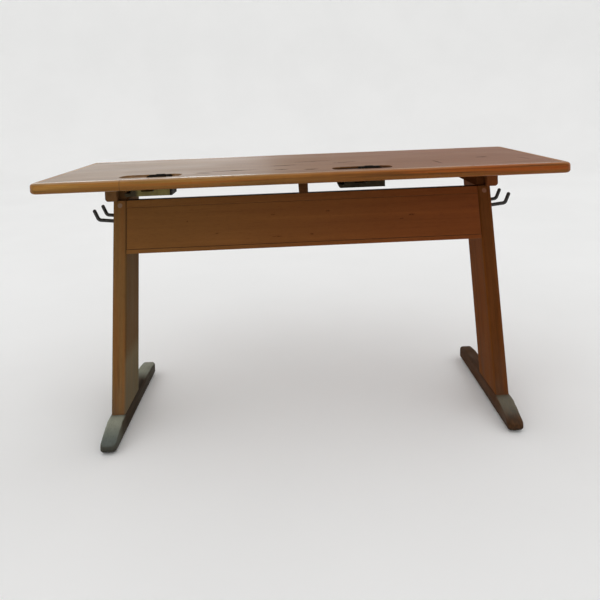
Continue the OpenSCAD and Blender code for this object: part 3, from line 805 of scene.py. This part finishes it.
# ---- the feet: lofted, rounded and dented ----

FOOT_RISE = (  # distance from the toe, height of the top, both in mm
    (0, 24), (10, 28), (49, 44), (73, 50), (224, 50), (374, 44), (414, 38), (424, 36),
)
FOOT_CURVED = (49, 224)  # the steps that start between these runs are curved, in mm
FOOT_TOP_ROUND = 9 * MM
FOOT_BOTTOM_ROUND = 6.5 * MM
FOOT_END_ROUND = 11 * MM
FOOT_NARROWS = 1.6 * MM  # what the inner side gives up towards the heel
NARROWED_BY = 0.6  # the share of the length at which it has given it up
TOP_DRAW, BOTTOM_DRAW = 0.8, 0.55  # top's and bottom's share of the end rounding
ROW_STEP = 4 * MM
END_STEPS = 7
CORNER_STEPS = 7
DENT = 0.8 * MM
BROAD_DENTS, SMALL_DENTS = 55, 170  # how many in a metre
UNDENTED = 2 * MM  # the height above the floor from which the foot has dents
BOLT_HEAD_R = 6.5 * MM
BOLT_BORE_R = 7.5 * MM
BOLT_BORE_DEPTH = 8 * MM


def foot_top(run):
    """Height of the foot's top at a distance from its toe."""
    run = run / MM
    for (near, low), (far, high) in zip(FOOT_RISE, FOOT_RISE[1:]):
        if run <= far:
            share = (run - near) / (far - near)
            if FOOT_CURVED[0] <= near <= FOOT_CURVED[1]:
                share = share * share * (3 - 2 * share)
            return (low + (high - low) * share) * MM
    return FOOT_RISE[-1][1] * MM


def foot_rows(length):
    """Distances from the toe, close together where the ends turn round."""
    ends = [
        FOOT_END_ROUND * (1 - math.cos(math.pi / 2 * i / END_STEPS))
        for i in range(END_STEPS + 1)
    ]
    middle = round((length - 2 * FOOT_END_ROUND) / ROW_STEP)
    span = (length - 2 * FOOT_END_ROUND) / middle
    inner = [FOOT_END_ROUND + i * span for i in range(1, middle)]
    return ends + inner + [length - e for e in reversed(ends)]


def foot_ring(left, right, low, high):
    """A closed outline across the foot, from the bottom left, with round corners."""
    room = min(right - left, high - low) / 2
    ring = []
    for cx, cz, start, radius in (
        (left, low, math.pi, FOOT_BOTTOM_ROUND),
        (right, low, 1.5 * math.pi, FOOT_BOTTOM_ROUND),
        (right, high, 0.0, FOOT_TOP_ROUND),
        (left, high, 0.5 * math.pi, FOOT_TOP_ROUND),
    ):
        r = min(radius, room * 0.98)  # the corners never quite meet
        mx = cx + r if cx == left else cx - r
        mz = cz + r if cz == low else cz - r
        for i in range(CORNER_STEPS + 1):
            a = start + math.pi / 2 * i / CORNER_STEPS
            ring.append((mx + r * math.cos(a), mz + r * math.sin(a)))
    return ring


def dented(place, middle):
    """A point of the foot's skin, pushed towards its row's middle where it's dented."""
    wobble = noise.noise(place * BROAD_DENTS) + 0.5 * noise.noise(place * SMALL_DENTS)
    inward = (middle - place).normalized() * DENT * max(wobble, 0)
    inward.y = 0
    return place + inward


def foot_row(side, low, high, run):
    """The points of one outline across the foot at a distance from its toe."""
    length = high.y - low.y
    sign = -1 if side == "left" else 1
    inner, outer = sorted((abs(low.x), abs(high.x)))
    share = min(run, length - run, FOOT_END_ROUND) / FOOT_END_ROUND
    draw = FOOT_END_ROUND * (1 - math.sqrt(max(1 - (1 - share) ** 2, 0)))
    near = inner + FOOT_NARROWS * min(run / (NARROWED_BY * length), 1) + draw
    bottom = low.z + BOTTOM_DRAW * draw
    top = min(foot_top(run), high.z) - TOP_DRAW * draw
    middle = Vector((sign * (inner + outer) / 2, low.y + run, (low.z + top) / 2))
    points = []
    for x, z in foot_ring(near, outer - draw, bottom, top):
        place = Vector((sign * x, low.y + run, z))
        points.append(dented(place, middle) if z > low.z + UNDENTED else place)
    return points


def loft(rows):
    """A closed skin through rows of points."""
    bm = bmesh.new()
    rings = [[bm.verts.new(point) for point in row] for row in rows]
    for a, b in zip(rings, rings[1:]):
        for i in range(len(a)):
            j = (i + 1) % len(a)
            bm.faces.new((a[i], a[j], b[j], b[i]))
    for ring in (rings[0], rings[-1]):
        bm.faces.new(ring)
    bmesh.ops.recalc_face_normals(bm, faces=bm.faces)
    return bm


def bored(mesh, side, bottom):
    """The foot's mesh again with counterbores in its underside for the foot bolts."""
    low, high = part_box("foot_bolts")
    x = low.x + BOLT_HEAD_R if side == "left" else high.x - BOLT_HEAD_R
    bm = bmesh.new()
    for y in (low.y + BOLT_HEAD_R, high.y - BOLT_HEAD_R):
        bmesh.ops.create_cone(
            bm, cap_ends=True, segments=40, radius1=BOLT_BORE_R, radius2=BOLT_BORE_R,
            depth=2 * BOLT_BORE_DEPTH, matrix=Matrix.Translation((x, y, bottom)),
        )
    cutter = link("cutter", mesh_from(bm, "cutter"))
    blank = link("blank", mesh)
    cut = blank.modifiers.new("cut", "BOOLEAN")
    cut.object = cutter
    cut.solver = "EXACT"
    cut.operation = "DIFFERENCE"
    graph = bpy.context.evaluated_depsgraph_get()
    done = bpy.data.meshes.new_from_object(blank.evaluated_get(graph))
    for helper in (cutter, blank):
        bpy.data.objects.remove(helper)
    return done


def foot(side):
    node = side + "_foot"
    low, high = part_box(node)
    rows = [foot_row(side, low, high, run) for run in foot_rows(high.y - low.y)]
    mesh = bored(mesh_from(loft(rows), "fine_" + node), side, low.z)
    smooth(mesh, sharp_from=50)
    mesh.materials.clear()
    mesh.materials.append(MATERIALS["foot_beech"])
    stand_in(link("fine_" + node, mesh), node)


for side in SIDES:
    foot(side)


# ---- the room ----

STAGE_R = 7.0
SWEEP_R = 1.5
SWEEP_STEPS = 14
WALL_TOP = 3.2
AROUND = 96  # sides of the round floor
SKY = 0.91  # strength of the white world
WINDOW_PLACE, WINDOW_TARGET = (-2.4, 5.6, 1.35), (-0.2, 0, 0.64)
WINDOW_SIZE = (4.4, 1.9)
WINDOW_POWER = 70  # watts
YAW, PITCH, ROLL = 0.0310, 0.0595, 0.0369  # the camera's turn, in radians
LENS, SENSOR = 35.64, 36.0  # mm
SHIFT = (-0.0167, -0.275)
STAND = (-0.0257, TOP_FRONT - 1.4026, 0.8136)  # where the camera stands


def floor_rings():
    """Radius and height of the rings from the floor's middle to the top of its wall."""
    flat = STAGE_R - SWEEP_R
    rings = [(1.0, 0.0), (2.5, 0.0), (flat, 0.0)]
    for i in range(1, SWEEP_STEPS + 1):
        a = math.pi / 2 * i / SWEEP_STEPS
        rings.append((flat + SWEEP_R * math.sin(a), SWEEP_R * (1 - math.cos(a))))
    return rings + [(STAGE_R, WALL_TOP)]


def backdrop():
    """A plain pale floor that sweeps up into a round wall with no line between."""
    bm = bmesh.new()
    centre = bm.verts.new((0, 0, 0))
    turns = [2 * math.pi * k / AROUND for k in range(AROUND)]
    rings = [
        [bm.verts.new((r * math.cos(turn), r * math.sin(turn), z)) for turn in turns]
        for r, z in floor_rings()
    ]
    for k in range(AROUND):
        m = (k + 1) % AROUND
        bm.faces.new((centre, rings[0][k], rings[0][m]))
        for a, b in zip(rings, rings[1:]):
            bm.faces.new((a[k], b[k], b[m], a[m]))
    mesh = mesh_from(bm, "backdrop")
    smooth(mesh)
    mesh.materials.append(MATERIALS["backdrop"])
    obj = link("backdrop", mesh)
    obj.location.z = -0.5 * MM  # just under the glides


def world():
    studio = bpy.data.worlds.new("studio")
    bpy.context.scene.world = studio
    studio.use_nodes = True
    background = studio.node_tree.nodes["Background"]
    background.inputs["Color"].default_value = (1, 1, 1, 1)
    background.inputs["Strength"].default_value = SKY


def window():
    """A soft light from behind, only on the top: elsewhere its edges would show."""
    data = bpy.data.lights.new("window", "AREA")
    data.shape = "RECTANGLE"
    data.size, data.size_y = WINDOW_SIZE
    data.energy = WINDOW_POWER
    data.color = (0.90, 0.97, 1.0)
    obj = link("window", data)
    obj.location = WINDOW_PLACE
    beam = Vector(WINDOW_TARGET) - Vector(WINDOW_PLACE)
    obj.rotation_euler = beam.to_track_quat("-Z", "Y").to_euler()
    obj.visible_camera = False
    lit = bpy.data.collections.new("window_lights")
    for node in TOP_PIECES:
        lit.objects.link(bpy.data.objects["fine_" + node])
    obj.light_linking.receiver_collection = lit


def camera():
    """The photo's viewpoint: a little above the top, almost square to the front."""
    ahead = Vector((math.sin(YAW), math.cos(YAW), 0))
    forward = math.cos(PITCH) * ahead - math.sin(PITCH) * Vector((0, 0, 1))
    level = Vector((math.cos(YAW), -math.sin(YAW), 0))
    down = forward.cross(level)
    right = math.cos(ROLL) * level + math.sin(ROLL) * down
    up = math.sin(ROLL) * level - math.cos(ROLL) * down
    data = bpy.data.cameras.new("camera")
    data.sensor_width = SENSOR
    data.lens = LENS
    data.shift_x, data.shift_y = SHIFT
    obj = link("camera", data)
    turn = Matrix((right, up, -forward)).transposed()
    obj.matrix_world = Matrix.Translation(STAND) @ turn.to_4x4()
    bpy.context.scene.camera = obj


backdrop()
world()
window()
camera()
bpy.context.scene.view_settings.view_transform = "Standard"
